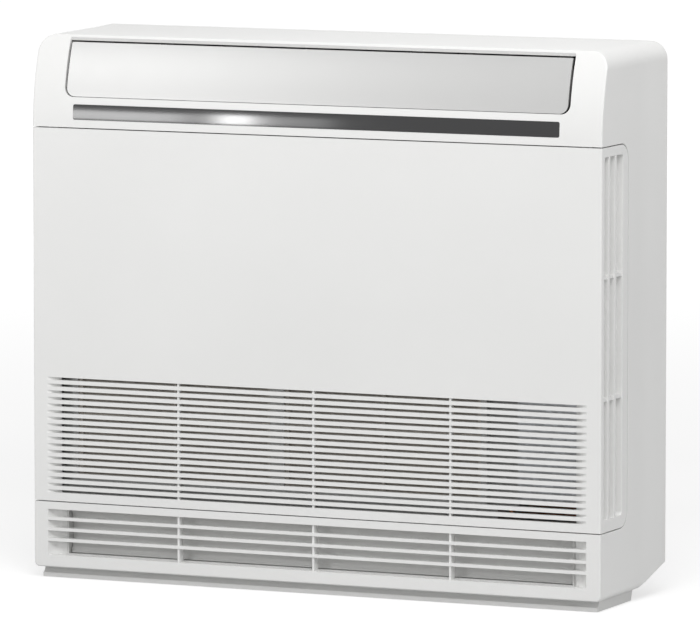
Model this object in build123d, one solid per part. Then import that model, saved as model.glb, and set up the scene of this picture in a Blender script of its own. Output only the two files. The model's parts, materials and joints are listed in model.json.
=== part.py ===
from build123d import *
import math
import os

# Casing, in millimetres. Depths are measured back from the front face
height = 620.0
front_width = 696.0
half_width = front_width / 2
rear_flare = 5.0
casing_depth = 178.0
back_reach = 14.0
wall = 2.6
base_height = 12.8
face_radius = 260.0
crease_height = 618.3
top_corner = 20.0
edge_round = 1.6
low_corner = 5.5
flare_start = 123.0
flare_blend = 200.0
undercut_start = 113.0
undercut_height = 36.0

# Front panel
panel_bottom = 87.5
panel_top = 514.6
flap_depth = 77.0
flap_corner = 20.0
seam_gap = 1.2
lip_depth = 12.0
peg_radius = 2.0
peg_clearance = 0.3
peg_x = half_width - 22.0
peg_inset = 3.6
peg_length = 10.4
tab_depth = 9.0
tab_width = 12.0

# Intake slots of the front panel
slot_count = 18
slot_height = 3.2
slot_pitch = 7.56
slot_lowest = 99.9
slot_half_width = half_width - 17.0
slot_inner_half_width = slot_half_width - 15.0
grille_depth = 7.0
grille_margin = 5.0
rib_spacing = 167.0
rib_width = 2.4
rib_setback = 1.5

# Side slots of the front panel
side_slot_starts = (8.0, 24.0, 42.0)
side_slot_ends = (20.0, 38.0, 61.0)
side_slot_bottom = 102.5
side_slot_top = 503.0
side_slot_rows = 3
side_bar = 4.0
side_slot_round = 3.5
side_slot_depth = 7.5
side_bar_setback = 1.5
side_pocket_floor = 1.6
side_pocket_margin = 3.0

# Lower outlet
outlet_bottom = 26.8
outlet_top = 79.1
outlet_depth = 12.0
outlet_wall = 2.2
outlet_inner_half_width = slot_half_width - 21.0
bar_thickness = 3.5
bar_heights = (44.2, 56.2, 68.3)
bar_taper = 0.6

# Display
display_half_width = half_width - 50.8
display_bottom = 523.6
display_height = 17.2
display_round = 2.0
display_thickness = 1.6
board_size = (96.0, 1.6, 24.0)
board_gap = 9.0
board_margin = 51.2

# Upper outlet and its blade
duct_half_width = half_width - 38.0
mouth_half_width = duct_half_width - 1.0
mouth_bottom = 549.0
mouth_top = 615.4
mouth_wall = 1.8
mouth_wall_depth = 5.0
mouth_joint = 0.6
mouth_corner = 2.0
mouth_low_corner = 11.0
mouth_lip_slope = 1.4
mouth_lip_depth = 4.5
mouth_lip_height = 611.7
blade_half_width = mouth_half_width - 3.0
blade_bottom = 549.6
blade_top = 610.0
blade_thickness = 3.0
blade_round = 1.2
blade_low_round = 10.0
blade_pin_depth = 26.0
blade_pin_height = 584.5
pin_radius = 3.0
pin_clearance = 0.05
arm_thickness = 2.5
stepper_radius = 10.0
stepper_length = 18.0

# Air duct
duct_wall = 2.2
duct_back = 160.0
duct_turn = 58.0
duct_ceiling = 612.6
duct_floor = 28.0
throat_floor = 546.6
throat_length = 84.0

# Vanes and link bars
vanes_per_side = 5
vane_first = 34.0
vane_margin = 36.0
vane_pitch = (duct_half_width - vane_margin - vane_first) / (vanes_per_side - 1)
vane_front = 55.0
vane_back = 89.0
vane_thickness = 1.8
vane_pin_depth = 70.0
vane_pin_radius = 2.0
vane_gap = 1.0
link_offset = 12.0
link_height = 576.0
link_width = 9.0
link_thickness = 3.0
link_pin_radius = 1.2
link_play = 0.15
notch_height = 9.0
notch_start = 6.5
vane_swing = 30.0

# Lower damper
damper_half_width = duct_half_width - 0.5
damper_pin_depth = 26.0
damper_pin_height = 36.0
damper_front = 16.5
damper_bulge = 7.0
damper_top = 79.2
damper_bottom = 28.7
damper_thickness = 2.0

# Bell mouth and fan
plate_depth = 60.0
plate_thickness = 2.5
plate_bottom = 90.0
plate_top = 513.0
fan_x = -35.0
fan_height = 305.0
bell_radius = 116.0
bell_curve = 14.0
bell_reach = 78.0
fan_radius = 168.0
fan_front = 72.0
fan_back = 126.0
fan_skin = 2.2
fan_inlet_clearance = 1.0
blade_count = 9
fan_blade_thickness = 2.4
fan_blade_inner = 104.0
fan_blade_outer = 166.0
fan_blade_sweep = 34.0
fan_blade_curve = 95.0
hub_radius = 16.0
hub_front = 98.0
cone_radius = 62.0
shaft_radius = 4.0
shaft_front = 86.0
shaft_back = 146.0
nut_radius = 7.5
nut_thickness = 7.0
press_clearance = 0.02

# Fan motor
motor_radius = 52.0
motor_front = 131.0
motor_back = 156.0
bracket_thickness = 1.5
bracket_half = 74.0

# Heat exchanger
coil_left = -half_width + 48.0
coil_right = half_width - 143.0
coil_front = 22.0
coil_thickness = 26.0
coil_bottom = 110.0
coil_top = 502.0
fin_groove_pitch = 14.5
fin_groove_width = 1.6
fin_groove_depth = 3.0
tube_radius = 3.6
tube_rows = 14
end_plate_thickness = 1.5
end_plate_lead = 2.0
end_plate_flange = 9.0

# Drain pan
pan_depth_front = 15.0
pan_depth_back = 60.0
pan_bottom = 91.0
pan_top = 107.0
pan_wall = 2.0
spigot_radius = 8.0
spigot_bore = 6.0
spigot_length = 20.0
spigot_depth = 38.0

# Filters
filter_front = 11.0
filter_thickness = 5.0
filter_bottom = 112.0
filter_top = 494.0
filter_border = 9.0
filter_cross = 3.0
filter_gap = 8.0
filter_clearance = 0.4
guide_thickness = 2.0
filter_lift = 12.0
filter_fields = 5
filter_overhang = 3.0
mesh_thickness = 0.5
flange_left = 15.0
flange_right = 35.0
flange_thickness = 1.5

# Base
plinth_inset = 7.1
plinth_setback = 8.0
plinth_back = 106.0
plinth_lip = 5.0
plinth_recess = 5.0
plinth_wall = 3.0
plinth_slope = 5.0
plinth_bays = 6
foot_length = 70.0
foot_width = 14.0
foot_height = 2.5
foot_reach = 0.4
foot_fit = 0.1

# Electrical box
box_left = half_width - 104.0
box_right = half_width - 12.0
box_front = 14.0
box_back = 60.0
box_bottom = 118.0
box_top = 470.0
box_wall = 2.0
board_thickness = 1.6
board_depth = 44.0
board_bottom = 176.0
sensor_height = 300.0

# Rear frame
frame_clearance = 0.6
frame_wall = 2.4
frame_rim_start = 150.0
frame_bevel = 10.0
boss_radius = 14.0
boss_reach = 4.0
post_x = 230.0
post_low = 130.0
post_high = 490.0
hole_radius = 3.0
hole_spacing_x = 560.0
hole_spacing_z = 470.0
hole_centre_z = 325.0

# Pipe connection
liquid_radius = 3.175
gas_radius = 4.76
liquid_union_radius = 5.55
gas_union_radius = 7.94
union_length = 22.0
union_height = 46.0
union_hex = 9.0
union_wall = 2.0
gas_hexagon = 11.5
liquid_hexagon = 9.0
gas_x = half_width - 24.0
liquid_x = half_width - 54.0
gas_side_x = half_width - 18.0
liquid_side_x = half_width - 27.0
pipe_drop_x = coil_right + 29.0
gas_run_depth = 50.0
gas_run_height = 112.0
liquid_run_height = 100.0
pipe_depth = 172.0
pipe_x = (gas_x + liquid_x) / 2
pipe_opening_half = 30.0
pipe_opening_lead = 10.0
pipe_opening_back = 186.0

front_y = -(casing_depth + back_reach) / 2


def deep(depth):
    """Y of a point that lies this far behind the front face."""
    return front_y + depth


def block(x0, x1, depth0, depth1, z0, z1):
    """Plain block between two corners."""
    size = Box(x1 - x0, depth1 - depth0, z1 - z0, align=(Align.MIN, Align.MIN, Align.MIN))
    return Pos(x0, deep(depth0), z0) * size


def along_x(face, x0, x1):
    """Face drawn in depth and height, drawn out along X."""
    return Pos(x0, 0, 0) * extrude(Plane.YZ * face, amount=x1 - x0, dir=(1, 0, 0))


def along_y(face, depth0, depth1):
    """Face drawn in X and height, drawn out along the depth."""
    return Pos(0, deep(depth0), 0) * extrude(Plane.XZ * face, amount=depth1 - depth0, dir=(0, 1, 0))


def along_z(face, z0, z1):
    """Face drawn in plan, drawn out upward."""
    return Pos(0, 0, z0) * extrude(face, amount=z1 - z0, dir=(0, 0, 1))


def arc(centre, radius, start, end):
    """Arc about a centre between two angles in degrees."""
    points = []
    for angle in (start, (start + end) / 2, end):
        turn = math.radians(angle)
        points.append((centre[0] + radius * math.cos(turn), centre[1] + radius * math.sin(turn)))
    return ThreePointArc(*points)


def rod_x(radius, x0, x1, depth, z):
    """Round bar along X."""
    bar = Cylinder(radius, x1 - x0, align=(Align.CENTER, Align.CENTER, Align.MIN))
    return Pos(x0, deep(depth), z) * Rot(0, 90, 0) * bar


def rod_y(radius, depth0, depth1, x, z):
    """Round bar along the depth."""
    bar = Cylinder(radius, depth1 - depth0, align=(Align.CENTER, Align.CENTER, Align.MIN))
    return Pos(x, deep(depth0), z) * Rot(-90, 0, 0) * bar


def rod_z(radius, z0, z1, x, depth):
    """Upright round bar."""
    bar = Cylinder(radius, z1 - z0, align=(Align.CENTER, Align.CENTER, Align.MIN))
    return Pos(x, deep(depth), z0) * bar


def face_depth(z, inset=0.0):
    """How far the front face leans back at height z."""
    rise = max(z - panel_top, 0.0)
    return face_radius - math.sqrt((face_radius - inset) ** 2 - rise ** 2)


def side_outline(inset, rear):
    """Side view of the casing, drawn inset from its outer skin."""
    crease = crease_height - inset
    middle = (panel_top + crease) / 2
    foot = base_height + inset
    slope = (undercut_height - base_height) / (casing_depth - undercut_start)
    tilt = inset * math.hypot(1, slope)
    lean = ThreePointArc(
        (deep(inset), panel_top),
        (deep(face_depth(middle, inset)), middle),
        (deep(face_depth(crease, inset)), crease),
    )
    rest = Polyline(
        lean @ 1,
        (deep(rear), height - inset),
        (deep(rear), base_height + slope * (rear - undercut_start) + tilt),
        (deep(undercut_start + (inset - tilt) / slope), foot),
        (deep(inset), foot),
        lean @ 0,
    )
    return make_face(lean + rest)


def plan_outline(inset, rear):
    """Top view of the casing, wider behind the flare line."""
    half = half_width - inset
    slope = rear_flare / (casing_depth - flare_start)
    rear_half = half + slope * (rear - flare_start)
    outline = make_face(Polyline(
        (-half, deep(inset)),
        (half, deep(inset)),
        (half, deep(flare_start)),
        (rear_half, deep(rear)),
        (-rear_half, deep(rear)),
        (-half, deep(flare_start)),
        close=True,
    ))
    creases = outline.vertices().filter_by_position(Axis.Y, deep(flare_start) - 1, deep(flare_start) + 1)
    return fillet(creases, flare_blend)


def form(inset, rear=casing_depth):
    """The casing's outer form as a solid, set in from the skin."""
    side = along_x(side_outline(inset, rear), -front_width, front_width)
    plan = along_z(plan_outline(inset, rear), 0, height + base_height)
    body = side & plan
    long_edges = body.edges().filter_by(
        lambda e: abs(e.center().X) > half_width - inset - 1 and e.center().Z > crease_height - inset - 1
    )
    return fillet(long_edges, top_corner - inset)


def rounded_form():
    """Outer form with its front edges broken."""
    body = form(0.0)
    for side in (-1, 1):
        centre = Pos(side * (half_width - low_corner), base_height + low_corner)
        square = Pos(side * low_corner, -low_corner) * Rectangle(2 * low_corner, 2 * low_corner)
        corner = centre * (square - Circle(low_corner))
        body -= along_y(corner, -1, undercut_start + 4 * low_corner)
    edges = body.edges().filter_by(
        lambda e: e.bounding_box().max.Y < deep(face_depth(crease_height)) + 0.5
        and e.center().Z > base_height + 1
    )
    return fillet(edges, edge_round)


def panel_outline(grow):
    """Side view of the front panel's opening, grown or shrunk."""
    low = panel_bottom - grow
    high = panel_top + grow
    back = flap_depth + grow
    face = make_face(Polyline(
        (deep(-10), low),
        (deep(back), low),
        (deep(back), high),
        (deep(-10), high),
        close=True,
    ))
    corners = face.vertices().filter_by_position(Axis.X, deep(back) - 1, deep(back) + 1)
    return fillet(corners, flap_corner + grow)


def panel_space(grow):
    """The panel's opening drawn out across the whole width."""
    return along_x(panel_outline(grow), -front_width, front_width)


def scooped_slot():
    """Lower outlet, whose ends are hollow curves."""
    outer = slot_half_width
    inner = outlet_inner_half_width
    reach = outer - inner
    bow = math.sqrt(0.5)
    sides = []
    for side in (-1, 1):
        sides.append(ThreePointArc(
            (side * outer, deep(0)),
            (side * (inner + reach * bow), deep(outlet_depth * bow)),
            (side * inner, deep(outlet_depth)),
        ))
    left, right = sides
    front = Polyline(left @ 0, (-outer, deep(-2)), (outer, deep(-2)), right @ 0)
    back = Polyline(right @ 1, (inner, deep(outlet_depth + 2)), (-inner, deep(outlet_depth + 2)), left @ 1)
    return along_z(make_face(left + front + right + back), outlet_bottom, outlet_top)


def tapered_slot(z0, z1, depth, outer=slot_half_width, inner=slot_inner_half_width):
    """Slot whose ends slope inward from the face."""
    slope = (outer - inner) / depth
    lead = 2.0
    plan = Polygon(
        (-outer - slope * lead, deep(-lead)),
        (outer + slope * lead, deep(-lead)),
        (inner, deep(depth)),
        (inner, deep(depth + lead)),
        (-inner, deep(depth + lead)),
        (-inner, deep(depth)),
        align=None,
    )
    return along_z(plan, z0, z1)


def mouth_cut(grow):
    """Opening of the upper outlet through the leaning bezel."""
    face = round_rectangle(
        mouth_half_width + grow,
        mouth_bottom - grow,
        mouth_top + grow,
        mouth_low_corner + grow,
        mouth_corner + grow,
    )
    return along_y(face, -10, 40)


def mouth_lip():
    """Sloping lip over the blade, along the mouth's upper edge."""
    start = face_depth(mouth_top)
    section = Polygon(
        (deep(start), mouth_top),
        (deep(start + mouth_lip_slope), mouth_lip_height),
        (deep(start + mouth_lip_depth), mouth_lip_height),
        (deep(start + mouth_lip_depth), mouth_top + mouth_wall),
        (deep(start + 1), mouth_top + mouth_wall / 2),
        align=None,
    )
    return along_x(section, -mouth_half_width, mouth_half_width)


def round_rectangle(half, low, high, low_round, high_round):
    """Front view of an opening whose lower corners are rounder than its upper ones."""
    face = make_face(Polyline((-half, low), (half, low), (half, high), (-half, high), close=True))
    middle = (low + high) / 2
    face = fillet(face.vertices().filter_by(lambda v: v.Y < middle), low_round)
    return fillet(face.vertices().filter_by(lambda v: v.Y > middle + (high - middle) * 0.9), high_round)


def display_face(grow):
    """Front view of the display strip."""
    shape = RectangleRounded(2 * (display_half_width + grow), display_height + 2 * grow, display_round + grow)
    return Pos(0, display_bottom + display_height / 2) * shape


def front_casing(outer):
    """Sides, top, bezel and lower outlet frame in one moulding."""
    inner = form(wall, casing_depth + 1)
    shell = outer - inner
    edge_lip = (outer - form(lip_depth)) & (panel_space(wall) - panel_space(0.0))
    body = shell - panel_space(0.0) + edge_lip
    pad = block(
        -slot_half_width - outlet_wall,
        slot_half_width + outlet_wall,
        wall,
        outlet_depth,
        outlet_bottom - outlet_wall,
        outlet_top + outlet_wall,
    )
    body += pad
    body -= scooped_slot()
    body += (mouth_cut(mouth_wall) - mouth_cut(0.0)) & (outer - Pos(0, mouth_wall_depth, 0) * outer)
    body -= mouth_cut(0.0)
    body += mouth_lip()
    body += panel_tabs()
    strip = along_y(display_face(0.15), -10, 40)
    back_skin = form(display_thickness)
    body -= strip & (outer - back_skin)
    body -= pipe_opening()
    return body


def pipe_opening():
    """Way in for the refrigerant pipes through the sloping underside."""
    return block(
        pipe_x - pipe_opening_half,
        pipe_x + pipe_opening_half,
        undercut_start + pipe_opening_lead,
        pipe_opening_back,
        0,
        union_height + union_length - 2,
    )


def side_slot_shape(number):
    """Side view of one column, rounded where it ends the group."""
    start = deep(side_slot_starts[number])
    end = deep(side_slot_ends[number])
    low = side_slot_bottom
    high = side_slot_top
    face = make_face(Polyline((start, low), (end, low), (end, high), (start, high), close=True))
    corners = face.vertices()
    if number == 0:
        return fillet(corners.filter_by(lambda v: v.X < start + 1), side_slot_round)
    if number == len(side_slot_starts) - 1:
        return fillet(corners.filter_by(lambda v: v.X > end - 1), side_slot_round)
    return face


def side_slots():
    """Three columns of recesses in each side flap, crossed by set-back bars."""
    pitch = (side_slot_top - side_slot_bottom + side_bar) / side_slot_rows
    cuts = []
    for side in (-1, 1):
        skin = side * half_width
        outside = skin + side * wall
        shallow = skin - side * side_bar_setback
        floor = skin - side * side_slot_depth
        for number in range(len(side_slot_starts)):
            shape = side_slot_shape(number)
            cuts.append(along_x(shape, min(outside, shallow), max(outside, shallow)))
            column = along_x(shape, min(outside, floor), max(outside, floor))
            for row in range(side_slot_rows):
                low = side_slot_bottom + row * pitch
                cuts.append(column & block(-front_width, front_width, 0, flap_depth, low, low + pitch - side_bar))
    return cuts


def side_pockets():
    """Thick backing of the side recesses, one behind each flap."""
    start = side_slot_starts[0] - side_pocket_margin
    end = side_slot_ends[-1] + side_pocket_margin
    low = side_slot_bottom - side_pocket_margin
    high = side_slot_top + side_pocket_margin
    inner = half_width - side_slot_depth - side_pocket_floor
    outer = half_width - wall
    return [
        block(-outer, -inner, start, end, low, high),
        block(inner, outer, start, end, low, high),
    ]


def peg_places():
    """X and height of the four pegs that hold the panel."""
    low = panel_bottom + peg_inset
    high = panel_top - peg_inset
    return [(-peg_x, low), (peg_x, low), (-peg_x, high), (peg_x, high)]


def panel_tabs():
    """Tabs on the casing's lips, with a hole for each panel peg."""
    tabs = []
    for x, z in peg_places():
        upper = z > (panel_bottom + panel_top) / 2
        low = z - peg_inset if not upper else z - peg_inset - 0.4
        high = z + peg_inset if upper else z + peg_inset + 0.4
        tab = block(x - tab_width / 2, x + tab_width / 2, tab_depth, lip_depth, low, high)
        tabs.append(tab - rod_y(peg_radius + peg_clearance, tab_depth - 1, lip_depth + 1, x, z))
    return tabs


def front_panel(outer):
    """Flat panel with side flaps, intake grille and four snap pegs."""
    body = (outer - form(wall)) & panel_space(-seam_gap)
    grille_top = slot_lowest + (slot_count - 1) * slot_pitch + slot_height / 2 + grille_margin
    grille_bottom = slot_lowest - slot_height / 2 - grille_margin
    grille_half = slot_half_width + grille_margin
    body += block(-grille_half, grille_half, wall, grille_depth, grille_bottom, grille_top)
    slots = []
    for number in range(slot_count):
        middle = slot_lowest + number * slot_pitch
        slots.append(tapered_slot(middle - slot_height / 2, middle + slot_height / 2, grille_depth))
    body -= slots
    for step in (-1, 0, 1):
        middle = step * rib_spacing
        body += block(
            middle - rib_width / 2, middle + rib_width / 2, rib_setback, grille_depth, grille_bottom, grille_top
        )
    body += side_pockets()
    body -= side_slots()
    for x, z in peg_places():
        body += rod_y(peg_radius, wall, wall + peg_length, x, z)
    return body


def lower_outlet_grille():
    """Three bars across the lower outlet, tied by three ribs."""
    parts = None
    for middle in bar_heights:
        front = bar_thickness / 2
        rear = front - bar_taper
        section = Polygon(
            (deep(0.2), middle - front),
            (deep(0.2), middle + front),
            (deep(outlet_depth), middle + rear),
            (deep(outlet_depth), middle - rear),
            align=None,
        )
        bar = along_x(section, -slot_half_width - 2, slot_half_width + 2)
        parts = bar if parts is None else parts + bar
    for step in (-1, 0, 1):
        middle = step * rib_spacing
        parts += block(
            middle - rib_width / 2, middle + rib_width / 2, rib_setback, outlet_depth, outlet_bottom, outlet_top
        )
    return parts & scooped_slot()


def display_window(outer):
    """Glossy strip let into the bezel."""
    return (outer - form(display_thickness)) & along_y(display_face(0.0), -10, 40)


def display_board():
    """Lamp and receiver board behind the strip."""
    length, thickness, tall = board_size
    middle = display_bottom + display_height / 2
    start = board_gap
    left = display_half_width - board_margin - length
    board = block(left, left + length, start, start + thickness, middle - tall / 2, middle + tall / 2)
    for number in range(4):
        x = left + 10 + 20 * number
        board += block(x, x + 6, start - 3, start, middle - 3, middle + 3)
    return board


def upper_blade(outer):
    """Curved blade with end arms and pivot pins."""
    face = round_rectangle(blade_half_width, blade_bottom, blade_top, blade_low_round, blade_round)
    skin = (outer - form(blade_thickness)) & along_y(face, -10, 40)
    for side in (-1, 1):
        arm = Polygon(
            (deep(face_depth(blade_bottom + 8) + 2), blade_bottom + 8),
            (deep(blade_pin_depth), blade_pin_height - 6),
            (deep(blade_pin_depth + 6), blade_pin_height),
            (deep(blade_pin_depth), blade_pin_height + 6),
            (deep(face_depth(blade_top - 8) + 2), blade_top - 8),
            align=None,
        )
        near = side * (blade_half_width - 3)
        far = near + side * arm_thickness
        skin += along_x(arm, min(near, far), max(near, far))
        tip = side * (duct_half_width + duct_wall + 4)
        skin += rod_x(pin_radius, min(near, tip), max(near, tip), blade_pin_depth, blade_pin_height)
    rib = Polygon(
        (deep(face_depth(blade_pin_height) + 2), blade_pin_height - 1.2),
        (deep(face_depth(blade_pin_height) + 11), blade_pin_height - 0.8),
        (deep(face_depth(blade_pin_height) + 11), blade_pin_height + 0.8),
        (deep(face_depth(blade_pin_height) + 2), blade_pin_height + 1.2),
        align=None,
    )
    skin += along_x(rib, -blade_half_width + 4, blade_half_width - 4)
    return skin


def duct_outline(offset):
    """Side view of the duct's rear liner, from the mouth down to the lower outlet."""
    top = duct_ceiling + offset
    back = duct_back + offset
    low = duct_floor - offset
    turn = duct_turn + offset
    mouth = face_depth(mouth_top) + mouth_wall_depth + mouth_joint
    upper = Line((deep(mouth), top), (deep(back - turn), top))
    upper_turn = arc((deep(back - turn), top - turn), turn, 90, 0)
    spine = Line(upper_turn @ 1, (deep(back), low + turn))
    lower_turn = arc((deep(back - turn), low + turn), turn, 0, -90)
    sill = Line(lower_turn @ 1, (deep(outlet_depth), low))
    return upper + upper_turn + spine + lower_turn + sill


def duct_section(offset):
    """Closed side view of the air space, grown by the offset."""
    liner = duct_outline(offset)
    front = Polyline(
        (deep(outlet_depth), duct_floor - offset),
        (deep(outlet_depth), outlet_top + offset),
        (deep(plate_depth), plate_bottom - 2 + offset),
        (deep(plate_depth), plate_top + 2 - offset),
        (deep(throat_length), throat_floor - offset),
        (deep(face_depth(mouth_bottom) + mouth_wall_depth + mouth_joint), throat_floor - offset),
        (deep(face_depth(mouth_top) + mouth_wall_depth + mouth_joint), duct_ceiling + offset),
    )
    return make_face(liner + front)


def whole_duct():
    """Liner, throat floor and end walls of the air passage."""
    outer = along_x(duct_section(duct_wall), -duct_half_width - duct_wall, duct_half_width + duct_wall)
    inner = along_x(duct_section(0.0), -duct_half_width, duct_half_width)
    body = outer - inner
    body -= block(
        -duct_half_width, duct_half_width, plate_depth - 6, plate_depth + 8, plate_bottom, plate_top
    )
    body -= block(
        -duct_half_width, duct_half_width, outlet_depth - 1, outlet_depth + 4, duct_floor, outlet_top
    )
    mouth = along_x(Polygon(
        (deep(0), throat_floor),
        (deep(face_depth(mouth_bottom) + 16), throat_floor),
        (deep(face_depth(mouth_top) + 16), duct_ceiling),
        (deep(0), duct_ceiling),
        align=None,
    ), -duct_half_width, duct_half_width)
    body -= mouth
    for side in (-1, 1):
        x0 = side * (duct_half_width - 1)
        x1 = side * (duct_half_width + duct_wall + 1)
        radius = pin_radius + pin_clearance
        body -= rod_x(radius, min(x0, x1), max(x0, x1), blade_pin_depth, blade_pin_height)
        body -= rod_x(radius, min(x0, x1), max(x0, x1), damper_pin_depth, damper_pin_height)
    for x in vane_places():
        body -= rod_z(vane_pin_radius + pin_clearance, duct_ceiling - 1, duct_ceiling + duct_wall + 1, x, vane_pin_depth)
        body -= rod_z(vane_pin_radius + pin_clearance, throat_floor - duct_wall - 1, throat_floor + 1, x, vane_pin_depth)
    hole = rod_y(motor_radius + 6, duct_back - 1, duct_back + duct_wall + 1, fan_x, fan_height)
    return body - hole


def outlet_duct(duct):
    """Lower moulding of the duct, which leads to the lower outlet."""
    return duct & block(-front_width, front_width, 0, casing_depth, 0, plate_bottom)


def vane_places():
    """X of each vane, the left group first."""
    places = []
    for side in (-1, 1):
        for number in range(vanes_per_side):
            places.append(side * (vane_first + number * vane_pitch))
    return sorted(places)


def vane(x):
    """Upright vane with two pivot pins and a link pin in its notch."""
    low = throat_floor + vane_gap
    high = duct_ceiling - vane_gap
    shape = make_face(Polyline(
        (deep(vane_front), low + 6),
        (deep(vane_front + 6), low),
        (deep(vane_back), low),
        (deep(vane_back), high),
        (deep(vane_front + 6), high),
        (deep(vane_front), high - 6),
        close=True,
    ))
    plate = along_x(shape, x - vane_thickness / 2, x + vane_thickness / 2)
    notch_low = link_height - notch_height / 2
    notch_high = link_height + notch_height / 2
    plate -= block(x - 3, x + 3, vane_pin_depth + notch_start, vane_back + 1, notch_low, notch_high)
    plate += rod_z(vane_pin_radius, throat_floor - duct_wall, low + 4, x, vane_pin_depth)
    plate += rod_z(vane_pin_radius, high - 4, duct_ceiling + duct_wall, x, vane_pin_depth)
    link_depth = vane_pin_depth + link_offset
    plate += rod_z(link_pin_radius, notch_low - 0.5, notch_high + 0.5, x, link_depth)
    return plate


def link_bar(places):
    """Bar that joins a group of vanes, with one short slot for each link pin."""
    depth = vane_pin_depth + link_offset
    first = min(places) - 8
    last = max(places) + 8
    low = link_height - link_thickness / 2
    bar = block(first, last, depth - link_width / 2, depth + link_width / 2, low, low + link_thickness)
    travel = link_offset * (1 - math.cos(math.radians(vane_swing)))
    slot_radius = link_pin_radius + link_play
    for x in places:
        slot = block(x - slot_radius, x + slot_radius, depth - travel - slot_radius, depth, low - 1, low + link_thickness + 1)
        slot += rod_z(slot_radius, low - 1, low + link_thickness + 1, x, depth)
        bar -= slot
    return bar


def lower_damper():
    """Concave plate that closes the lower outlet, hung on two pins."""
    middle = (damper_top + damper_bottom) / 2
    outer = ThreePointArc(
        (deep(damper_front), damper_top),
        (deep(damper_front + damper_bulge), middle),
        (deep(damper_front), damper_bottom),
    )
    thick = damper_front + damper_thickness
    inner = ThreePointArc(
        (deep(thick), damper_bottom),
        (deep(thick + damper_bulge), middle),
        (deep(thick), damper_top),
    )
    section = make_face(outer + Line(outer @ 1, inner @ 0) + inner + Line(inner @ 1, outer @ 0))
    plate = along_x(section, -damper_half_width, damper_half_width)
    for side in (-1, 1):
        arm = Polygon(
            (deep(damper_front + 2), damper_bottom),
            (deep(damper_front + 8), damper_bottom + 16),
            (deep(damper_pin_depth + 4), damper_pin_height + 3),
            (deep(damper_pin_depth + 4), damper_pin_height - 4),
            align=None,
        )
        near = side * (damper_half_width - 3)
        far = near + side * arm_thickness
        plate += along_x(arm, min(near, far), max(near, far))
        tip = side * (duct_half_width + duct_wall + 4)
        plate += rod_x(pin_radius, min(near, tip), max(near, tip), damper_pin_depth, damper_pin_height)
    return plate


def small_motor(depth, z):
    """Geared stepper on the duct's right end wall, open for the driven pin."""
    start = duct_half_width + duct_wall
    can = rod_x(stepper_radius, start, start + stepper_length, depth, z)
    reach = stepper_radius + 5
    ears = block(start, start + 1.5, depth - 3.5, depth + 3.5, z - reach, z + reach)
    return can + ears - rod_x(pin_radius + pin_clearance, start - 1, start + 5, depth, z)


def ring(points):
    """Ring turned about the fan's axis from radius and depth pairs."""
    section = Polygon(*[(radius, deep(depth)) for radius, depth in points], align=None)
    return Pos(fan_x, 0, fan_height) * revolve(section, Axis.Y, 360)


def bell_mouth():
    """Plate with a curved inlet ring in front of the fan."""
    plate = block(
        -duct_half_width + 0.3, duct_half_width - 0.3, plate_depth, plate_depth + plate_thickness, plate_bottom + 0.3, plate_top - 0.3
    )
    plate -= rod_y(bell_radius + bell_curve, plate_depth - 1, plate_depth + plate_thickness + 1, fan_x, fan_height)
    r = bell_radius
    mouth = deep(plate_depth)
    skin = plate_thickness
    centre = (r + bell_curve, mouth + bell_curve)
    inside = arc(centre, bell_curve, 270, 180)
    outside = arc(centre, bell_curve - skin, 180, 270)
    reach = deep(bell_reach)
    section = make_face(
        inside
        + Polyline(inside @ 1, (r, reach), (r + skin, reach), outside @ 0)
        + outside
        + Line(outside @ 1, inside @ 0)
    )
    return plate + Pos(fan_x, 0, fan_height) * revolve(section, Axis.Y, 360)


def fan_blade():
    """Front view of one blade that trails the direction of turning."""
    sweep_angle = math.radians(fan_blade_sweep)
    x0, z0 = fan_blade_inner, 0.0
    x1 = fan_blade_outer * math.cos(sweep_angle)
    z1 = fan_blade_outer * math.sin(sweep_angle)
    chord = math.hypot(x1 - x0, z1 - z0)
    rise = math.sqrt(fan_blade_curve ** 2 - chord ** 2 / 4)
    centre = (
        (x0 + x1) / 2 + rise * (z1 - z0) / chord,
        (z0 + z1) / 2 - rise * (x1 - x0) / chord,
    )
    start = math.degrees(math.atan2(z0 - centre[1], x0 - centre[0]))
    end = math.degrees(math.atan2(z1 - centre[1], x1 - centre[0]))
    half = fan_blade_thickness / 2
    back = arc(centre, fan_blade_curve + half, start, end)
    front = arc(centre, fan_blade_curve - half, end, start)
    return make_face(back + Line(back @ 1, front @ 0) + front + Line(front @ 1, back @ 0))


def turbo_fan():
    """Back plate, hub, blades and inlet ring moulded together."""
    inlet = bell_radius + plate_thickness + fan_inlet_clearance
    skin = fan_skin
    turn = fan_front + 8
    shroud = ring([
        (inlet, fan_front),
        (inlet + skin, fan_front),
        (inlet + skin, turn),
        (inlet + 14, turn + 6),
        (fan_radius, turn + 12),
        (fan_radius, turn + 12 + skin),
        (inlet + 12, turn + 6 + skin),
        (inlet, turn + 2),
    ])
    plate = ring([
        (0, hub_front),
        (hub_radius, hub_front),
        (cone_radius, fan_back - 1),
        (fan_radius, fan_back),
        (fan_radius, fan_back + skin),
        (cone_radius - 2, fan_back + skin),
        (hub_radius - 2, hub_front + 4),
        (hub_radius - 3, fan_back),
        (0, fan_back),
    ])
    passage = ring([
        (fan_blade_inner - 5, turn + 6),
        (inlet, turn + 1),
        (inlet + 13, turn + 7),
        (fan_radius - 0.5, turn + 12.8),
        (fan_radius - 0.5, fan_back + 1),
        (fan_blade_inner - 5, fan_back + 0.6),
    ])
    fan = shroud + plate
    blade = along_y(fan_blade(), fan_front, fan_back + 1)
    for number in range(blade_count):
        angle = number * 360 / blade_count
        fan += (Pos(fan_x, 0, fan_height) * Rot(0, angle, 0) * blade) & passage
    return fan - rod_y(shaft_radius + press_clearance, hub_front - 1, fan_back + skin + 1, fan_x, fan_height)


def fan_shaft():
    """Motor shaft that carries the fan."""
    return rod_y(shaft_radius, shaft_front, shaft_back, fan_x, fan_height)


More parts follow.
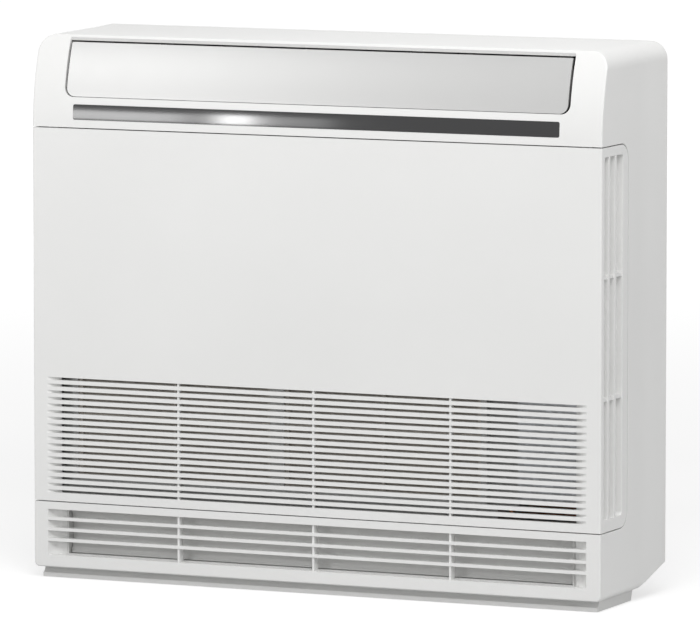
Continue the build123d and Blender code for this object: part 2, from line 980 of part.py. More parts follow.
def hub_nut():
    """Hexagon nut that holds the fan on the shaft."""
    shape = Pos(fan_x, fan_height) * RegularPolygon(nut_radius, 6)
    nut = along_y(shape, hub_front - nut_thickness, hub_front)
    return nut - rod_y(shaft_radius + press_clearance, shaft_front - 1, hub_front + 1, fan_x, fan_height)


def fan_motor():
    """Flat motor with a round end cover."""
    body = rod_y(motor_radius, motor_front + 4, motor_back, fan_x, fan_height)
    body += rod_y(motor_radius - 12, motor_front, motor_front + 4, fan_x, fan_height)
    for number in range(3):
        angle = math.radians(90 + 120 * number)
        x = fan_x + (motor_radius + 4) * math.cos(angle)
        z = fan_height + (motor_radius + 4) * math.sin(angle)
        body += rod_y(8, motor_back - 4, motor_back, x, z)
    return body - rod_y(shaft_radius + pin_clearance, motor_front - 1, shaft_back + 1, fan_x, fan_height)


def motor_bracket():
    """Sheet steel carrier between the motor and the duct's back."""
    start = duct_back - bracket_thickness
    half = bracket_half
    plate = block(fan_x - half, fan_x + half, start, duct_back, fan_height - half, fan_height + half)
    plate += block(
        fan_x - half, fan_x - half + bracket_thickness, start - 10, start, fan_height - half, fan_height + half
    )
    plate += block(
        fan_x + half - bracket_thickness, fan_x + half, start - 10, start, fan_height - half, fan_height + half
    )
    for number in range(3):
        angle = math.radians(90 + 120 * number)
        x = fan_x + (motor_radius + 4) * math.cos(angle)
        z = fan_height + (motor_radius + 4) * math.sin(angle)
        plate += rod_y(6, motor_back, start, x, z)
    return plate


def tube_heights():
    """Height of each tube row of the heat exchanger."""
    pitch = (coil_top - coil_bottom) / tube_rows
    return [coil_bottom + pitch * (number + 0.5) for number in range(tube_rows)]


def fin_pack():
    """Fins pressed together, grooved where the eye sees between them."""
    back = coil_front + coil_thickness
    pack = block(coil_left, coil_right, coil_front, back, coil_bottom, coil_top)
    cuts = []
    count = int((coil_right - coil_left) / fin_groove_pitch)
    start = coil_left + fin_groove_pitch / 2
    for number in range(count):
        x = start + number * fin_groove_pitch
        cuts.append(block(
            x, x + fin_groove_width, coil_front - 1, coil_front + fin_groove_depth, coil_bottom - 1, coil_top + 1
        ))
    return pack - cuts


def end_plate(x0, x1):
    """Folded sheet that holds the tubes at one end of the fins."""
    plate = block(x0, x1, coil_front - end_plate_lead, plate_depth, coil_bottom, coil_top)
    outward = -1 if x0 < 0 else 1
    edge = x0 if x0 < 0 else x1
    flange = edge + outward * end_plate_flange
    fold = plate_depth - end_plate_thickness
    plate += block(min(edge, flange), max(edge, flange), fold, plate_depth, coil_bottom, coil_top)
    return plate


def bend(x, z, spacing, outward):
    """Half ring that joins two tubes."""
    depth = coil_front + coil_thickness / 2
    half_ring = revolve(
        Plane.YZ * (Pos(deep(depth), spacing / 2) * Circle(tube_radius)), Axis.Y, 180
    )
    turn = 0 if outward > 0 else 180
    return Pos(x, 0, z) * Rot(0, turn, 0) * half_ring


def return_bends():
    """Half rings that join the tubes in pairs at both ends."""
    heights = tube_heights()
    pitch = heights[1] - heights[0]
    bends = []
    for number in range(0, tube_rows - 1, 2):
        middle = heights[number] + pitch / 2
        bends.append(bend(coil_left - end_plate_thickness, middle, pitch, -1))
    for number in range(1, tube_rows - 2, 2):
        middle = heights[number] + pitch / 2
        bends.append(bend(coil_right + end_plate_thickness, middle, pitch, 1))
    return bends


def pipe(points, radius, turn):
    """Copper pipe along straight runs joined by arcs."""
    places = [(x, deep(depth), z) for x, depth, z in points]
    path = FilletPolyline(*places, radius=turn)
    start = Plane(origin=path @ 0, z_dir=path % 0)
    return sweep(start * Circle(radius), path=path)


def gas_pipe():
    """Wider pipe from the top of the heat exchanger to its union."""
    heights = tube_heights()
    end = coil_right + end_plate_thickness
    middle = coil_front + coil_thickness / 2
    return pipe([
        (end, middle, heights[-1]),
        (pipe_drop_x, middle, heights[-1]),
        (pipe_drop_x, gas_run_depth, heights[-1] - 48),
        (pipe_drop_x, gas_run_depth, gas_run_height),
        (gas_side_x, gas_run_depth, gas_run_height),
        (gas_side_x, pipe_depth, gas_run_height),
        (gas_x, pipe_depth, union_height + union_length + 18),
        (gas_x, pipe_depth, union_height + union_length),
    ], gas_radius, 13)


def liquid_pipe():
    """Narrower pipe from the foot of the heat exchanger to its union."""
    heights = tube_heights()
    end = coil_right + end_plate_thickness
    middle = coil_front + coil_thickness / 2
    return pipe([
        (end, middle, heights[0]),
        (pipe_drop_x - 8, middle, heights[0]),
        (pipe_drop_x - 8, middle, liquid_run_height),
        (liquid_side_x, middle, liquid_run_height),
        (liquid_side_x, pipe_depth, liquid_run_height),
        (liquid_x, pipe_depth, union_height + union_length + 12),
        (liquid_x, pipe_depth, union_height + union_length),
    ], liquid_radius, 7)


def union(x, thread_radius, hexagon):
    """Flare union with its hexagon, open to the connecting pipe."""
    top = union_height + union_length
    nut_face = Pos(x, deep(pipe_depth)) * RegularPolygon(hexagon, 6)
    body = along_z(nut_face, top - union_hex, top)
    body += rod_z(thread_radius, union_height, top, x, pipe_depth)
    return body - rod_z(thread_radius - union_wall, union_height - 1, top - 3, x, pipe_depth)


def drain_pan():
    """Trough that catches water under the heat exchanger."""
    left = coil_left - 18
    right = coil_right + 14
    body = block(left, right, pan_depth_front, pan_depth_back, pan_bottom, pan_top)
    body -= block(
        left + pan_wall, right - pan_wall, pan_depth_front + pan_wall, pan_depth_back - pan_wall, pan_bottom + pan_wall, pan_top + 1
    )
    middle = pan_bottom + spigot_radius
    spigot = rod_x(spigot_radius, left - spigot_length, left, spigot_depth, middle)
    bore = rod_x(spigot_bore, left - spigot_length - 1, left + pan_wall + 1, spigot_depth, middle)
    return body + spigot - bore


def filter_frame(x0, x1):
    """Filter frame with crossing ribs."""
    depth1 = filter_front + filter_thickness
    body = block(x0, x1, filter_front, depth1, filter_bottom, filter_top)
    body -= block(
        x0 + filter_border, x1 - filter_border, filter_front - 1, depth1 + 1, filter_bottom + filter_border, filter_top - filter_border
    )
    half = filter_cross / 2
    middle = (x0 + x1) / 2
    body += block(middle - half, middle + half, filter_front + 1, depth1, filter_bottom + 2, filter_top - 2)
    step = (filter_top - filter_bottom) / filter_fields
    for number in range(1, filter_fields):
        z = filter_bottom + number * step
        body += block(x0 + 2, x1 - 2, filter_front + 1, depth1, z - half, z + half)
    grip = block(middle - 18, middle + 18, filter_front - 1.5, filter_front + 0.5, filter_top - 8, filter_top - 2)
    return body + grip


def filter_mesh(x0, x1):
    """Woven sheet on the back of the filter frame."""
    start = filter_front + filter_thickness
    return block(x0 + 3, x1 - 3, start, start + mesh_thickness, filter_bottom + 3, filter_top - 3)


def filter_spans():
    """X limits of the left and right filters."""
    middle = (coil_left + coil_right) / 2
    left = coil_left + filter_clearance + guide_thickness - filter_overhang
    right = coil_right - filter_clearance - guide_thickness + filter_overhang
    return [(left, middle - filter_gap / 2), (middle + filter_gap / 2, right)]


def filter_guide():
    """Frame on the heat exchanger with channels that the filters slide in."""
    back = coil_front - end_plate_lead
    seat = filter_front + filter_thickness + mesh_thickness + filter_clearance
    lip = filter_front - filter_clearance
    spans = filter_spans()
    low = filter_bottom - filter_clearance
    high = filter_top + filter_lift + filter_clearance
    left = spans[0][0] - filter_clearance - guide_thickness
    right = spans[1][1] + filter_clearance + guide_thickness
    body = block(left, right, seat, back, low - guide_thickness, high)
    for x0, x1 in spans:
        body -= block(x0 + 7, x1 - 7, seat - 1, back + 1, low + 7, high - 7)
    edges = [(left, left + guide_thickness), (right - guide_thickness, right)]
    middle = (spans[0][1] + spans[1][0]) / 2
    half = filter_gap / 2 - filter_clearance
    edges.append((middle - half, middle + half))
    for x0, x1 in edges:
        body += block(x0, x1, lip - guide_thickness, back, low - guide_thickness, high)
    hold = 5
    body += block(left, left + guide_thickness + hold, lip - guide_thickness, lip, low - guide_thickness, high)
    body += block(right - guide_thickness - hold, right, lip - guide_thickness, lip, low - guide_thickness, high)
    body += block(middle - half - hold, middle + half + hold, lip - guide_thickness, lip, low - guide_thickness, high)
    body += block(left, right, lip - guide_thickness, back, low - guide_thickness, low)
    body += block(left, right, lip - guide_thickness, lip, low - guide_thickness, low + filter_lift - 4)
    body += block(left - flange_left, left, seat, seat + flange_thickness, low - guide_thickness, high)
    body += block(right, right + flange_right, seat, seat + flange_thickness, low - guide_thickness, high)
    return body


def base_plinth():
    """Set-back base tray with a hollow between its lips."""
    low = foot_reach
    front = plinth_setback
    recess = ThreePointArc(
        (deep(front), plinth_lip),
        (deep(front + plinth_recess * 0.85), plinth_lip + (base_height - plinth_lip) * 0.4),
        (deep(front + plinth_recess), base_height),
    )
    rest = Polyline(
        recess @ 1,
        (deep(plinth_back + plinth_slope), base_height),
        (deep(plinth_back), low),
        (deep(front), low),
        recess @ 0,
    )
    half = half_width - plinth_inset
    body = along_x(make_face(recess + rest), -half, half)
    wall_back = plinth_back - plinth_wall
    start = front + plinth_recess + plinth_wall
    bays = plinth_bays
    bay = (2 * half - plinth_wall) / bays
    for number in range(bays):
        x0 = -half + plinth_wall + number * bay
        body -= block(x0, x0 + bay - plinth_wall, start, wall_back, low + plinth_wall, base_height + 1)
    for x, depth in foot_places():
        body -= foot(x, depth, foot_fit)
    return body


def foot_places():
    """X and depth of the four feet."""
    half = half_width - plinth_inset - foot_length / 2 - 12
    front = plinth_setback + foot_width / 2 + 3
    back = plinth_back - foot_width / 2 - 3
    return [(-half, front), (half, front), (-half, back), (half, back)]


def foot(x, depth, grow):
    """Rubber pad let into the plinth."""
    shape = Pos(x, deep(depth)) * RectangleRounded(foot_length + 2 * grow, foot_width + 2 * grow, 3)
    return along_z(shape, 0, foot_height)


def feet():
    """Four rubber pads."""
    return [foot(x, depth, 0.0) for x, depth in foot_places()]


def control_box():
    """Open tray for the electrical parts."""
    body = block(box_left, box_right, box_front, box_back, box_bottom, box_top)
    body -= block(
        box_left + box_wall, box_right - box_wall, box_front - 1, box_back - box_wall, box_bottom + box_wall, box_top - box_wall
    )
    for x, z in board_posts():
        body += rod_y(3, board_depth + board_thickness, box_back - box_wall, x, z)
    return body


def board_posts():
    """X and height of the posts under the main board."""
    left = box_left + box_wall + 8
    right = box_right - box_wall - 8
    return [(x, z) for x in (left, right) for z in (board_bottom + 8, box_top - 20)]


def control_box_cover():
    """Lid of the electrical box with a turned edge."""
    gap = 0.3
    lid = block(box_left, box_right, box_front - box_wall, box_front, box_bottom, box_top)
    inner = box_wall + gap
    rim = block(
        box_left + inner, box_right - inner, box_front, box_front + 4, box_bottom + inner, box_top - inner
    )
    rim -= block(
        box_left + 2 * inner, box_right - 2 * inner, box_front - 1, box_front + 5, box_bottom + 2 * inner, box_top - 2 * inner
    )
    return lid + rim


def main_board():
    """Circuit board with its tallest components."""
    left = box_left + box_wall + 2
    right = box_right - box_wall - 2
    board = block(left, right, board_depth, board_depth + board_thickness, board_bottom, box_top - 12)
    for number in range(3):
        z = board_bottom + 30 + 46 * number
        board += block(left + 8, left + 36, board_depth - 16, board_depth, z, z + 20)
    for number in range(3):
        board += rod_y(7, board_depth - 22, board_depth, right - 16, board_bottom + 36 + 40 * number)
    return board


def terminal_block():
    """Row of mains terminals under the board."""
    left = box_left + box_wall + 14
    back = box_back - box_wall
    body = block(left, left + 62, back - 18, back, box_bottom + 10, box_bottom + 38)
    for number in range(4):
        x = left + 9 + 15 * number
        body -= block(x - 5, x + 5, back - 19, back - 8, box_bottom + 14, box_bottom + 34)
        body += rod_y(3.5, back - 12, back - 7, x, box_bottom + 24)
    return body


def room_sensor():
    """Air temperature sensor in its clip on the box."""
    body = rod_z(2.5, sensor_height, sensor_height + 18, box_left - 4, 30)
    body += block(box_left - 4, box_left, 29, 31, sensor_height + 4, sensor_height + 14)
    return body


def rear_frame():
    """Moulded back with its rim inside the casing, wall bosses and duct posts."""
    rear = casing_depth + back_reach - boss_reach
    inset = wall + frame_clearance
    outside = form(inset, rear)
    inside = form(inset + frame_wall, rear - frame_wall)
    outside = chamfer(outside.faces().sort_by(Axis.Y)[-1].edges(), frame_bevel)
    inside = chamfer(inside.faces().sort_by(Axis.Y)[-1].edges(), frame_bevel)
    keep = block(-front_width, front_width, frame_rim_start, casing_depth + back_reach, 0, height)
    body = (outside - inside) & keep
    for x, z in wall_holes():
        body += rod_y(boss_radius, rear - frame_wall - 1, rear + boss_reach, x, z)
        body -= rod_y(hole_radius, rear - frame_wall - 2, rear + boss_reach + 1, x, z)
    for x in (-post_x, post_x):
        for z in (post_low, post_high):
            body += rod_y(7, duct_back + duct_wall, rear - frame_wall, x, z)
    body -= pipe_opening()
    body -= rod_z(gas_hexagon + 1, union_height - 4, union_height + union_length + 2, gas_x, pipe_depth)
    return body


def wall_holes():
    """X and height of the four wall screws."""
    return [
        (x, hole_centre_z + z)
        for x in (-hole_spacing_x / 2, hole_spacing_x / 2)
        for z in (-hole_spacing_z / 2, hole_spacing_z / 2)
    ]


def save(name, shape):
    """Write one sub-part."""
    if isinstance(shape, list):
        shape = Compound(children=shape)
    export_step(shape, f"parts/{name}.step")


def main():
    """Write one solid model file for each sub-part."""
    os.makedirs("parts", exist_ok=True)
    outer = rounded_form()
    duct = whole_duct()
    nodes = {
        "front_casing": front_casing(outer),
        "front_panel": front_panel(outer),
        "lower_outlet_grille": lower_outlet_grille(),
        "display_window": display_window(outer),
        "display_board": display_board(),
        "upper_blade": upper_blade(outer),
        "air_duct": duct - block(-front_width, front_width, 0, casing_depth, 0, plate_bottom),
        "outlet_duct": outlet_duct(duct),
        "lower_damper": lower_damper(),
        "blade_motor": small_motor(blade_pin_depth, blade_pin_height),
        "damper_motor": small_motor(damper_pin_depth, damper_pin_height),
        "bell_mouth": bell_mouth(),
        "turbo_fan": turbo_fan(),
        "fan_shaft": fan_shaft(),
        "hub_nut": hub_nut(),
        "fan_motor": fan_motor(),
        "motor_bracket": motor_bracket(),
        "fin_pack": fin_pack(),
        "coil_plate_left": end_plate(coil_left - end_plate_thickness, coil_left),
        "coil_plate_right": end_plate(coil_right, coil_right + end_plate_thickness),
        "return_bends": return_bends(),
        "gas_pipe": gas_pipe(),
        "liquid_pipe": liquid_pipe(),
        "gas_union": union(gas_x, gas_union_radius, gas_hexagon),
        "liquid_union": union(liquid_x, liquid_union_radius, liquid_hexagon),
        "drain_pan": drain_pan(),
        "filter_guide": filter_guide(),
        "base_plinth": base_plinth(),
        "feet": feet(),
        "control_box": control_box(),
        "control_box_cover": control_box_cover(),
        "main_board": main_board(),
        "terminal_block": terminal_block(),
        "room_sensor": room_sensor(),
        "rear_frame": rear_frame(),
    }
    for side, span in zip(("left", "right"), filter_spans()):
        nodes[f"filter_frame_{side}"] = filter_frame(*span)
        nodes[f"filter_mesh_{side}"] = filter_mesh(*span)
    places = vane_places()
    for number, x in enumerate(places, start=1):
        nodes[f"vane_{number}"] = vane(x)
    nodes["link_bar_left"] = link_bar(places[:vanes_per_side])
    nodes["link_bar_right"] = link_bar(places[vanes_per_side:])
    for name, shape in nodes.items():
        save(name, shape)


main()
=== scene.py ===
import json
import math

import bmesh
import bpy
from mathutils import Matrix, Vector


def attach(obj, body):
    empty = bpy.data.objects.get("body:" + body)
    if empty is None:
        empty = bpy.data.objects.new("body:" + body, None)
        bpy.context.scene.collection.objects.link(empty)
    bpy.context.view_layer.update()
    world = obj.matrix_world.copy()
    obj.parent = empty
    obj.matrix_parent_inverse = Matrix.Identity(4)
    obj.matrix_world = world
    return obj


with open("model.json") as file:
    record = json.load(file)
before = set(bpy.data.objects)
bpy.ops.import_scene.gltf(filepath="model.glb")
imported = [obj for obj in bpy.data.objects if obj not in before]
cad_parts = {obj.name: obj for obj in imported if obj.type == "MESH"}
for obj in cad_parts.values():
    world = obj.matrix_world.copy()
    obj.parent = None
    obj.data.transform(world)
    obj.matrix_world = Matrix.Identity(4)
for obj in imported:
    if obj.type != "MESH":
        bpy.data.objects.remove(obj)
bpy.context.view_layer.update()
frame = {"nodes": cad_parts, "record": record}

# Camera, in metres and degrees
view_azimuth = 24.369
view_elevation = 6.195
view_distance = 8.3485
view_aim = (0.0006, 0.004, 0.302)
focal_pixels = 7411.8
image_width = 700
sensor_width = 36.0
view_reach = 100.0

# Room: the floor's glow for the camera and gloss rises between two distances
floor_half = 30.0
floor_tone = 0.5
floor_rough = 0.9
floor_glow = 0.62
far_glow = 0.86
glow_start = 1.2
glow_end = 4.0
background = 1.0
ambient = 0.386

# Moulded plastic: sizes of its flow marks, gloss patches and sink marks, in metres
flow_size = 0.22
gloss_patch = 0.03
sink_size = 0.14
sink_depth = 0.00015
plastic_ior = 1.5

# Metal and other finishes, in metres
metal_patch = 0.012
fine_patch = 0.02
thread_pitch = 0.0011
fin_pitch = 0.0014
track_pitch = 0.0012
spangle_scale = 120.0
pad_scale = 260.0

# Strips at the ends of the lower outlet's frame, in metres
end_outer = 0.3215
end_inner = 0.3124
end_low = 0.0252
end_high = 0.0808
end_front = -0.08396
end_hollow = 0.0012
end_thickness = 0.0012
end_steps = 8

# Lamps: where each stands, where it points, its width and height and its power
lamps = {
    "key": ((1.1, -2.3, 2.4), (0.05, 0.0, 0.42), 1.5, 1.1, 42.0),
    "top": ((0.3, -0.5, 2.2), (0.0, 0.0, 0.5), 1.4, 1.0, 7.7),
    "left_panel": ((-1.1, -1.5, 1.3), (0.0, 0.0, 0.58), 0.6, 0.75, 3.5),
    "right_panel": ((2.3, -0.7, 1.3), (0.1, 0.0, 0.35), 1.2, 1.2, 10.0),
    "low_panel": ((-1.1, -1.5, 0.57), (-0.2, 0.0, 0.53), 0.5, 0.12, 2.2),
    "low_strip": ((-0.757, -1.5, 0.57), (-0.1, 0.0, 0.53), 0.045, 0.12, 0.58),
    "low_fade": ((-0.69, -1.5, 0.57), (-0.1, 0.0, 0.53), 0.13, 0.12, 0.22),
}


def new_material(name):
    """A material with its tree and its main shader."""
    material = bpy.data.materials.new(name)
    material.use_nodes = True
    tree = material.node_tree
    return material, tree, tree.nodes["Principled BSDF"]


def space(tree, stretch=(1.0, 1.0, 1.0)):
    """The piece's own coordinates in metres, stretched per axis."""
    place = tree.nodes.new("ShaderNodeTexCoord")
    mapping = tree.nodes.new("ShaderNodeMapping")
    mapping.inputs["Scale"].default_value = stretch
    tree.links.new(place.outputs["Object"], mapping.inputs["Vector"])
    return mapping.outputs["Vector"]


def noise(tree, size, detail=2.0, stretch=(1.0, 1.0, 1.0)):
    """Soft noise from 0 to 1 with features of the given size in metres."""
    node = tree.nodes.new("ShaderNodeTexNoise")
    node.inputs["Scale"].default_value = 1.0 / size
    node.inputs["Detail"].default_value = detail
    tree.links.new(space(tree, stretch), node.inputs["Vector"])
    return node.outputs["Fac"]


def grain(tree, size):
    """Small rounded bumps of the given size in metres, as on an etched mould."""
    node = tree.nodes.new("ShaderNodeTexVoronoi")
    node.feature = "SMOOTH_F1"
    node.inputs["Scale"].default_value = 1.0 / size
    tree.links.new(space(tree), node.inputs["Vector"])
    return node.outputs["Distance"]


def stripes(tree, pitch, axis, distortion=0.0):
    """Parallel ridges from 0 to 1 across an axis, one per pitch in metres."""
    node = tree.nodes.new("ShaderNodeTexWave")
    node.bands_direction = axis
    node.inputs["Scale"].default_value = math.pi / (10.0 * pitch)
    node.inputs["Distortion"].default_value = distortion
    tree.links.new(space(tree), node.inputs["Vector"])
    return node.outputs["Fac"]


def tint(tree, shader, factor, dark, light, start=0.3, end=0.7):
    """Colours the shader between two linear colours as a factor goes from start to end."""
    ramp = tree.nodes.new("ShaderNodeValToRGB")
    ramp.color_ramp.elements[0].position = start
    ramp.color_ramp.elements[0].color = (*dark, 1.0)
    ramp.color_ramp.elements[1].position = end
    ramp.color_ramp.elements[1].color = (*light, 1.0)
    tree.links.new(factor, ramp.inputs["Fac"])
    tree.links.new(ramp.outputs["Color"], shader.inputs["Base Color"])


def roughen(tree, shader, factor, low, high):
    """Varies the shader's roughness between two values by a factor."""
    spread = tree.nodes.new("ShaderNodeMapRange")
    spread.inputs["To Min"].default_value = low
    spread.inputs["To Max"].default_value = high
    tree.links.new(factor, spread.inputs["Value"])
    tree.links.new(spread.outputs["Result"], shader.inputs["Roughness"])


def relief(tree, shader, height, depth):
    """Raises the surface by up to a depth in metres."""
    node = tree.nodes.new("ShaderNodeBump")
    node.inputs["Distance"].default_value = depth
    node.inputs["Strength"].default_value = 1.0
    tree.links.new(height, node.inputs["Height"])
    previous = shader.inputs["Normal"]
    if previous.is_linked:
        tree.links.new(previous.links[0].from_socket, node.inputs["Normal"])
    tree.links.new(node.outputs["Normal"], shader.inputs["Normal"])


def scaled(colour, share):
    """A colour made lighter or darker by a share."""
    return tuple(min(1.0, channel * share) for channel in colour)


def moulded(name, colour, rough, texture=0.0006, depth=0.00002, spread=0.015):
    """A moulded plastic with etched grain, faint flow marks and uneven gloss."""
    material, tree, shader = new_material(name)
    flow = noise(tree, flow_size, 3.0)
    tint(tree, shader, flow, scaled(colour, 1 - spread), scaled(colour, 1 + spread))
    roughen(tree, shader, noise(tree, gloss_patch, 4.0), rough - 0.03, rough + 0.04)
    relief(tree, shader, grain(tree, texture), depth)
    relief(tree, shader, noise(tree, sink_size, 1.0), sink_depth)
    shader.inputs["IOR"].default_value = plastic_ior
    return material


def metal(name, colour, rough, pattern, depth, spread):
    """A bare metal whose colour, gloss and relief follow one pattern."""
    material, tree, shader = new_material(name)
    shader.inputs["Metallic"].default_value = 1.0
    factor = pattern(tree)
    tint(tree, shader, factor, scaled(colour, 1 - spread), scaled(colour, 1 + spread))
    roughen(tree, shader, noise(tree, metal_patch, 4.0), rough - 0.06, rough + 0.08)
    relief(tree, shader, factor, depth)
    return material


def spangle(tree):
    """Flat crystals of zinc."""
    node = tree.nodes.new("ShaderNodeTexVoronoi")
    node.inputs["Scale"].default_value = spangle_scale
    node.inputs["Randomness"].default_value = 1.0
    tree.links.new(space(tree), node.inputs["Vector"])
    shade = tree.nodes.new("ShaderNodeSeparateColor")
    tree.links.new(node.outputs["Color"], shade.inputs["Color"])
    return shade.outputs["Red"]


def polished_blade(name):
    """The silvery gloss face of the swing blade."""
    material, tree, shader = new_material(name)
    tint(tree, shader, noise(tree, 0.3, 2.0), (0.5, 0.5, 0.495), (0.52, 0.52, 0.515))
    roughen(tree, shader, noise(tree, fine_patch, 4.0), 0.3, 0.34)
    relief(tree, shader, noise(tree, 0.2, 1.0), 0.0001)
    shader.inputs["Metallic"].default_value = 0.5
    return material


def smoked_window(name):
    """The dark glossy strip that the indicators shine through."""
    material, tree, shader = new_material(name)
    tint(tree, shader, noise(tree, 0.15, 2.0), (0.026, 0.026, 0.027), (0.032, 0.032, 0.033))
    roughen(tree, shader, noise(tree, fine_patch, 4.0), 0.08, 0.1)
    relief(tree, shader, noise(tree, 0.05, 1.0), 0.00001)
    shader.inputs["IOR"].default_value = plastic_ior
    return material


def circuit_board(name):
    """Solder mask over copper tracks, with pale pads."""
    material, tree, shader = new_material(name)
    node = tree.nodes.new("ShaderNodeTexVoronoi")
    node.distance = "CHEBYCHEV"
    node.inputs["Scale"].default_value = pad_scale
    node.inputs["Randomness"].default_value = 0.35
    tree.links.new(space(tree), node.inputs["Vector"])
    pads = node.outputs["Distance"]
    tint(tree, shader, pads, (0.5, 0.5, 0.42), (0.02, 0.13, 0.06), 0.1, 0.16)
    roughen(tree, shader, noise(tree, 0.01, 3.0), 0.25, 0.4)
    relief(tree, shader, stripes(tree, track_pitch, "Z", 2.0), 0.00003)
    return material


def woven_net(name):
    """The net of the air filters: threads that cross at right angles."""
    material, tree, shader = new_material(name)
    across = stripes(tree, thread_pitch, "X")
    along = stripes(tree, thread_pitch, "Z")
    weave = tree.nodes.new("ShaderNodeMath")
    weave.operation = "MAXIMUM"
    tree.links.new(across, weave.inputs[0])
    tree.links.new(along, weave.inputs[1])
    threads = weave.outputs["Value"]
    tint(tree, shader, threads, (0.5, 0.46, 0.41), (0.86, 0.8, 0.73), 0.55, 0.9)
    roughen(tree, shader, noise(tree, 0.01, 3.0), 0.6, 0.75)
    relief(tree, shader, threads, 0.0003)
    return material


def fin_edges_with_gap_shade(name):
    """The edges of closely packed aluminium fins, with painted shade in the gaps between them."""
    material, tree, shader = new_material(name)
    shader.inputs["Metallic"].default_value = 0.9
    fins = stripes(tree, fin_pitch, "X")
    # painted shade: the near-black end of the ramp stands for the shaded gaps between the fins
    tint(tree, shader, fins, (0.05, 0.05, 0.05), (0.62, 0.63, 0.65), 0.35, 0.75)
    roughen(tree, shader, noise(tree, fine_patch, 4.0), 0.35, 0.5)
    relief(tree, shader, fins, 0.0004)
    return material


def drawn(tree):
    """Fine lines left along a drawn tube or a turned pin."""
    return noise(tree, 0.004, 3.0, (1.0, 1.0, 0.08))


finishes = {
    "white_plastic": moulded("white_plastic", (0.84, 0.84, 0.83), 0.42),
    "white_panel": moulded("white_panel", (0.84, 0.84, 0.83), 0.42),
    "gloss_white": polished_blade("gloss_white"),
    "base_plastic": moulded("base_plastic", (0.72, 0.72, 0.71), 0.46),
    "display_gloss": smoked_window("display_gloss"),
    "circuit": circuit_board("circuit"),
    "duct_plastic": moulded("duct_plastic", (0.62, 0.62, 0.61), 0.5, 0.0008, 0.00003),
    "duct_grey": moulded("duct_grey", (0.7, 0.7, 0.69), 0.5, 0.0008, 0.00003),
    "motor_plastic": moulded("motor_plastic", (0.03, 0.03, 0.032), 0.45, 0.0008, 0.00004, 0.1),
    "fan_plastic": moulded("fan_plastic", (0.05, 0.05, 0.053), 0.4, 0.001, 0.00003, 0.08),
    "steel": metal("steel", (0.58, 0.58, 0.58), 0.28, drawn, 0.00001, 0.08),
    "motor_metal": metal("motor_metal", (0.5, 0.51, 0.52), 0.36, spangle, 0.00001, 0.05),
    "zinc_sheet": metal("zinc_sheet", (0.55, 0.56, 0.58), 0.38, spangle, 0.00001, 0.12),
    "fins": fin_edges_with_gap_shade("fins"),
    "copper": metal("copper", (0.78, 0.36, 0.2), 0.3, drawn, 0.00001, 0.12),
    "brass": metal("brass", (0.72, 0.5, 0.2), 0.26, drawn, 0.00001, 0.1),
    "rubber": moulded("rubber", (0.025, 0.025, 0.025), 0.75, 0.0005, 0.00006, 0.15),
    "filter_plastic": moulded("filter_plastic", (0.8, 0.75, 0.68), 0.5, 0.0008, 0.00003, 0.04),
    "filter_mesh": woven_net("filter_mesh"),
}


def dress_nodes():
    """Gives each CAD node the finish of its slot."""
    for subpart in frame["record"]["subparts"]:
        node = frame["nodes"][subpart["node"]]
        for holder in node.material_slots:
            holder.material = finishes[subpart["material_slot"]]


def add_outlet_end(name, side):
    """A thin hollowed strip that joins the outlet's frame to the end of the duct."""
    rows = []
    for step in range(end_steps + 1):
        share = step / end_steps
        x = side * (end_outer + (end_inner - end_outer) * share)
        rows.append((x, end_front + end_hollow * share * share))
    rows += [(x, y + end_thickness) for x, y in reversed(rows)]
    points = [(x, y, z) for z in (end_low, end_high) for x, y in rows]
    count = len(rows)
    faces = [list(range(count)), list(range(count, 2 * count))]
    for corner in range(count):
        after = (corner + 1) % count
        faces.append([corner, after, after + count, corner + count])
    mesh = bpy.data.meshes.new(name)
    mesh.from_pydata(points, [], faces)
    shape = bmesh.new()
    shape.from_mesh(mesh)
    bmesh.ops.recalc_face_normals(shape, faces=shape.faces)
    shape.to_mesh(mesh)
    shape.free()
    mesh.materials.append(finishes["white_plastic"])
    piece = bpy.data.objects.new(name, mesh)
    bpy.context.scene.collection.objects.link(piece)
    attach(piece, "cabinet")


def pointed(thing, place, aim):
    """Stands a lamp or the camera at a place and points it at its aim."""
    thing.location = place
    direction = Vector(aim) - Vector(place)
    thing.rotation_euler = direction.to_track_quat("-Z", "Y").to_euler()


def add_lamp(name, place, aim, width, height, power):
    """A soft rectangular lamp."""
    lamp = bpy.data.lights.new(name, "AREA")
    lamp.shape = "RECTANGLE"
    lamp.size = width
    lamp.size_y = height
    lamp.energy = power
    holder = bpy.data.objects.new(name, lamp)
    bpy.context.scene.collection.objects.link(holder)
    pointed(holder, place, aim)


def seen_as_background(tree):
    """1 for rays from the camera, and for what gloss and glass show; else 0."""
    path = tree.nodes.new("ShaderNodeLightPath")
    gloss = tree.nodes.new("ShaderNodeMath")
    gloss.operation = "MAXIMUM"
    tree.links.new(path.outputs["Is Camera Ray"], gloss.inputs[0])
    tree.links.new(path.outputs["Is Glossy Ray"], gloss.inputs[1])
    seen = tree.nodes.new("ShaderNodeMath")
    seen.operation = "MAXIMUM"
    tree.links.new(gloss.outputs["Value"], seen.inputs[0])
    tree.links.new(path.outputs["Is Transmission Ray"], seen.inputs[1])
    return seen.outputs["Value"]


def light_room():
    """A white surround that lights the object evenly and softly."""
    world = bpy.data.worlds.new("studio")
    bpy.context.scene.world = world
    world.use_nodes = True
    tree = world.node_tree
    shown = tree.nodes["Background"]
    shown.inputs["Color"].default_value = (1.0, 1.0, 1.0, 1.0)
    level = tree.nodes.new("ShaderNodeMapRange")
    level.inputs["To Min"].default_value = ambient
    level.inputs["To Max"].default_value = background
    tree.links.new(seen_as_background(tree), level.inputs["Value"])
    tree.links.new(level.outputs["Result"], shown.inputs["Strength"])


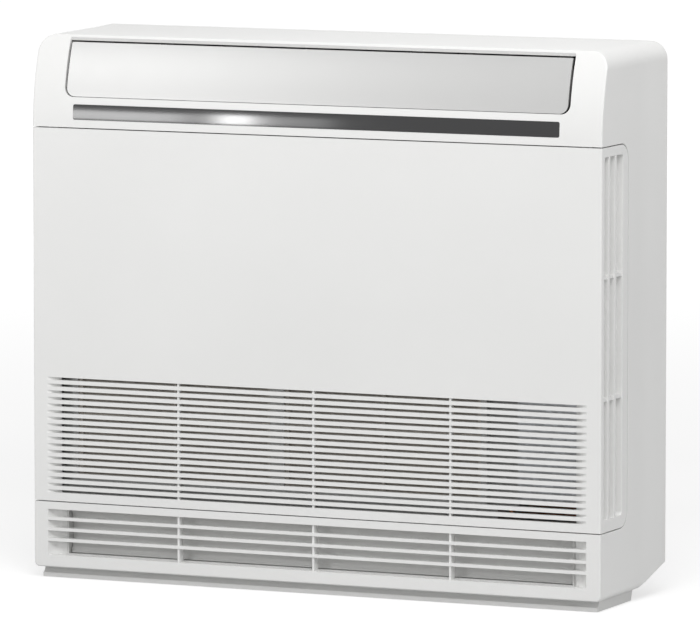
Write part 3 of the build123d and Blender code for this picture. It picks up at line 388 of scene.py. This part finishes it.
def add_floor():
    """A plain pale floor that keeps the object's shadow."""
    corners = [
        (-floor_half, -floor_half, 0.0),
        (floor_half, -floor_half, 0.0),
        (floor_half, floor_half, 0.0),
        (-floor_half, floor_half, 0.0),
    ]
    mesh = bpy.data.meshes.new("floor")
    mesh.from_pydata(corners, [], [(0, 1, 2, 3)])
    floor = bpy.data.objects.new("floor", mesh)
    bpy.context.scene.collection.objects.link(floor)
    material, tree, shader = new_material("floor")
    shader.inputs["Base Color"].default_value = (floor_tone, floor_tone, floor_tone, 1.0)
    shader.inputs["Roughness"].default_value = floor_rough
    shader.inputs["Specular IOR Level"].default_value = 0.0
    shader.inputs["Emission Color"].default_value = (1.0, 1.0, 1.0, 1.0)
    place = tree.nodes.new("ShaderNodeTexCoord")
    away = tree.nodes.new("ShaderNodeVectorMath")
    away.operation = "LENGTH"
    tree.links.new(place.outputs["Object"], away.inputs[0])
    level = tree.nodes.new("ShaderNodeMapRange")
    level.inputs["From Min"].default_value = glow_start
    level.inputs["From Max"].default_value = glow_end
    level.inputs["To Min"].default_value = floor_glow
    level.inputs["To Max"].default_value = far_glow
    tree.links.new(away.outputs["Value"], level.inputs["Value"])
    glow = tree.nodes.new("ShaderNodeMath")
    glow.operation = "MULTIPLY"
    tree.links.new(seen_as_background(tree), glow.inputs[0])
    tree.links.new(level.outputs["Result"], glow.inputs[1])
    tree.links.new(glow.outputs["Value"], shader.inputs["Emission Strength"])
    mesh.materials.append(material)


def add_camera():
    """The camera at the photograph's viewing angle."""
    camera = bpy.data.cameras.new("camera")
    camera.sensor_width = sensor_width
    camera.lens = focal_pixels / image_width * sensor_width
    camera.clip_end = view_reach
    holder = bpy.data.objects.new("camera", camera)
    bpy.context.scene.collection.objects.link(holder)
    turn = math.radians(view_azimuth)
    rise = math.radians(view_elevation)
    back = Vector((math.sin(turn) * math.cos(rise), -math.cos(turn) * math.cos(rise), math.sin(rise)))
    pointed(holder, Vector(view_aim) + back * view_distance, view_aim)
    bpy.context.scene.camera = holder


dress_nodes()
add_outlet_end("outlet_end_left", -1)
add_outlet_end("outlet_end_right", 1)
add_floor()
light_room()
for name, settings in lamps.items():
    add_lamp(name, *settings)
add_camera()
bpy.context.scene.view_settings.view_transform = "Standard"
